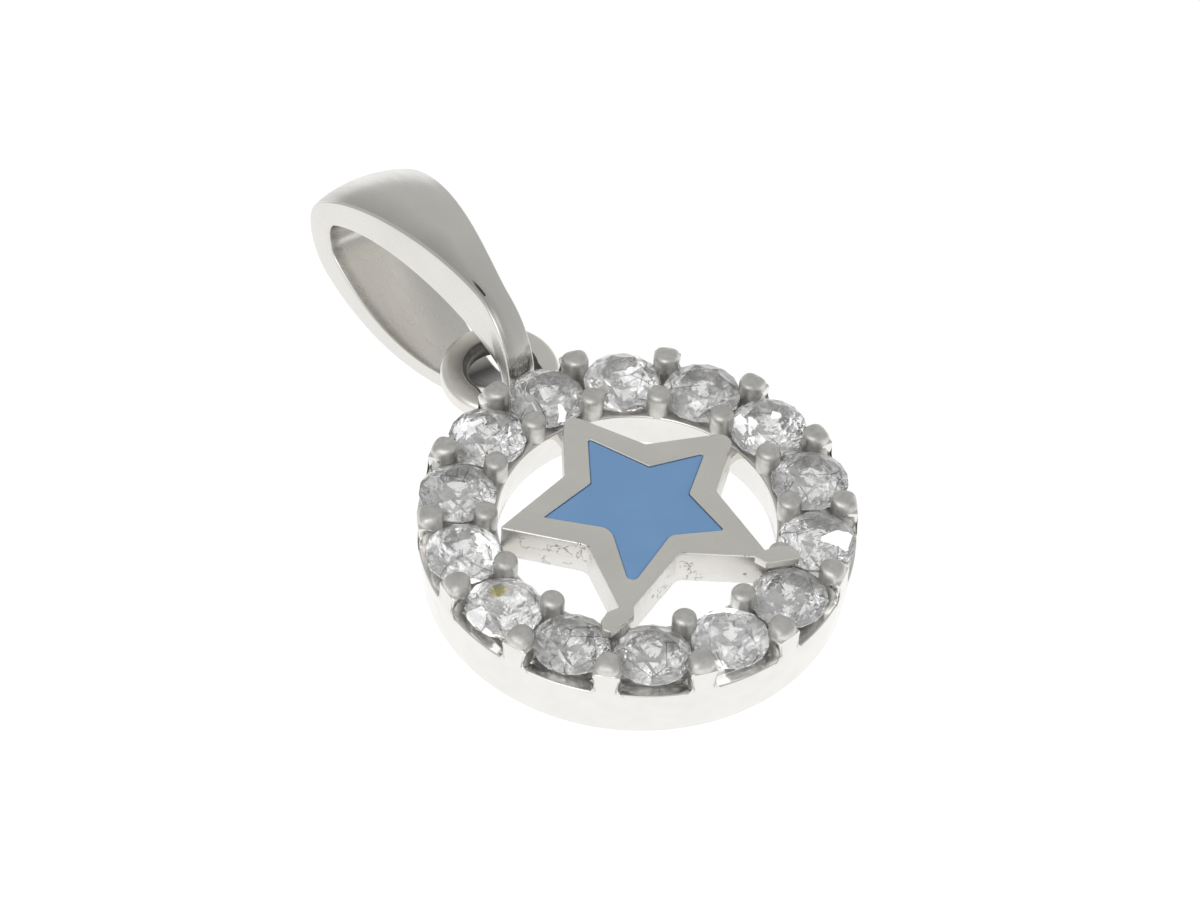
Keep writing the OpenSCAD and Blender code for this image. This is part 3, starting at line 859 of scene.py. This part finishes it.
def strap_section(thick, width):
    """The strap's section at each place along it, as distances across it and outwards from its
    inside: a crowned outer face, one side, the plain inside and the other side, with round edges.
    The crown falls off with the square of the distance across, and the face eases down before its
    edge with the sixth power."""
    half, rise = width/2, BAIL_CROWN*width
    e_out, e_in = BAIL_OUT_EDGE_R, BAIL_IN_EDGE_R
    face, mid = np.linspace(-1, 1, 13), np.linspace(1, 0, 6)[1:-1]
    a, b = quarter(4)[1:], quarter(3)
    zero = np.zeros_like(half)

    def crown(x):
        """The outer face's height at a distance across."""
        return thick + rise*(1 - (x/half)**2)
    flat = half - e_out
    drop = crown(flat) - BAIL_EASE*e_out
    top, low = drop - e_out, zero + e_in
    under = np.linspace(1, -1, 9)[1:-1]
    parts = [(flat*face, crown(flat*face) - BAIL_EASE*e_out*np.abs(face)**6),
             (flat + e_out*np.sin(a), drop - e_out*(1 - np.cos(a))),
             (half + zero*mid, low + (top - low)*mid),
             (half - e_in*(1 - np.cos(b)), low - e_in*np.sin(b)),
             ((half - e_in)*under, zero*under),
             (-(half - e_in*(1 - np.cos(b[::-1]))), low - e_in*np.sin(b[::-1])),
             (-half + zero*mid, low + (top - low)*mid[::-1]),
             (-(flat + e_out*np.sin(a[::-1])), drop - e_out*(1 - np.cos(a[::-1])))]
    across = np.concatenate([x for x, _ in parts], axis=1)
    outwards = np.concatenate([d for _, d in parts], axis=1)
    return (np.concatenate([across, across[:, :1]], axis=1),
            np.concatenate([outwards, outwards[:, :1]], axis=1))


def build_bail():
    """A section carried round the oval. Its u runs round the section and its v along the strap."""
    outer, inner = oval_line(BAIL_OUTER, BAIL_STEPS), oval_line(BAIL_INNER, BAIL_STEPS)
    reach = np.linalg.norm(outer - inner, axis=1)[:, None]
    out = (outer - inner)/reach
    x, d = strap_section(reach, bail_width((outer[:, 0] + inner[:, 0])/2)[:, None])
    points = np.stack([x, inner[:, :1] + out[:, :1]*d, inner[:, 1:] + out[:, 1:]*d], axis=-1)
    run = np.concatenate([[0], np.cumsum(np.linalg.norm(np.diff(outer, axis=0), axis=1))])
    girth = np.concatenate([[0], np.cumsum(np.hypot(np.diff(x[0]), np.diff(d[0])))])
    uv = np.stack(np.broadcast_arrays(girth[None, :], run[:, None]), axis=-1)
    piece("bail_strap", split(BAIL_INSIDE, points, uv), [STRAP, STRAP_INSIDE], "bail")


build_halo()
build_prongs()
build_star_frame()
build_star_roots()
build_enamel()
build_loop()
build_bail()

for node_name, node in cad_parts.items():
    if node_name.startswith("stone_"):
        node.data.materials.clear()
        node.data.materials.append(CLEAR)


# Floor, light and camera

def pale_floor():
    """A white sheet that turns grey beyond the picture, on the far side."""
    f = Finish("pale floor")
    white, grey = (1.0, 1.0, 0.995, 1), (0.42, 0.415, 0.41, 1)
    away = f.part(1, f.place(turn=(0.0, 0.0, SHEET_TURN)))
    return f.done(Base_Color=(0.14, 0.14, 0.14, 1), Roughness=0.9,
                  Emission_Color=f.mix(f.between(away, *SHEET_FADE), white, grey),
                  Emission_Strength=0.95)


def build_floor():
    """One flat square."""
    s = SHEET_HALF_M
    mesh = bpy.data.meshes.new("floor")
    mesh.from_pydata([(-s, -s, 0), (s, -s, 0), (s, s, 0), (-s, s, 0)], [], [(0, 1, 2, 3)])
    mesh.materials.append(pale_floor())
    floor = bpy.data.objects.new("floor", mesh)
    bpy.context.scene.collection.objects.link(floor)


def build_sky():
    """A light tent: lighter near the horizon, greyer overhead, with a grey card low behind the
    bail and a bright panel on the near left. Each shows where the dot product of its direction and
    the ray's is in its range or above."""
    world = bpy.data.worlds.new("tent")
    sky = Nodes(world)
    where = sky.add("ShaderNodeTexCoord", out="Generated")
    stops = [(place, (grey, grey*0.995, grey*0.985, 1)) for place, grey in TENT_GREYS]
    tone = sky.add("ShaderNodeValToRGB", {"stops": stops}, {0: sky.part(2, where)})
    for towards, low, high, colour in (GREY_CARD, BRIGHT_PANEL):
        facing = sky.measure("DOT_PRODUCT", where, towards)
        tone = sky.mix(sky.between(facing, low, high), tone, colour)
    tent = sky.add("ShaderNodeBackground", sockets={"Color": tone, "Strength": 1.0})
    sky.add("ShaderNodeOutputWorld", sockets={"Surface": tent})
    bpy.context.scene.world = world


def build_lamp(name, towards, strength, angle):
    """A soft sun that shines from a direction."""
    lamp = bpy.data.lights.new(name, "SUN")
    lamp.energy, lamp.angle = strength, math.radians(angle)
    made = bpy.data.objects.new(name, lamp)
    made.rotation_mode = "QUATERNION"
    made.rotation_quaternion = Vector(towards).to_track_quat("Z", "Y")
    bpy.context.scene.collection.objects.link(made)


def build_camera():
    """The photograph's view: angles, distance, aim and roll on the flat halo, laid down with it."""
    azimuth, elevation, roll = (math.radians(d) for d in (-32.8709, 48.2338, 3.3947))
    distance, focal_px, frame_px = 250.0, 9699.69, 1200
    aim = np.array([1.3082, 3.9495, 0.0])
    back = np.array([math.sin(azimuth)*math.cos(elevation), -math.cos(azimuth)*math.cos(elevation),
                     math.sin(elevation)])
    right = np.array([math.cos(azimuth), math.sin(azimuth), 0.0])
    up = np.cross(back, right)
    right, up = (math.cos(roll)*right + math.sin(roll)*up, math.cos(roll)*up - math.sin(roll)*right)
    place = lie(aim + back*distance)
    axes = [(lie(aim + v) - lie(aim))*1000 for v in (right, up, back)]
    camera = bpy.data.cameras.new("camera")
    camera.sensor_width = 36.0
    camera.lens = camera.sensor_width*focal_px/frame_px
    camera.clip_start, camera.clip_end = 0.01, 10.0
    made = bpy.data.objects.new("camera", camera)
    made.matrix_world = Matrix([[axes[0][i], axes[1][i], axes[2][i], place[i]] for i in range(3)]
                               + [[0, 0, 0, 1]])
    bpy.context.scene.collection.objects.link(made)
    bpy.context.scene.camera = made


build_floor()
build_sky()
build_lamp("key", towards=(-0.62, -0.5, 0.72), strength=0.12, angle=20)
build_camera()
bpy.context.scene.view_settings.view_transform = "Standard"
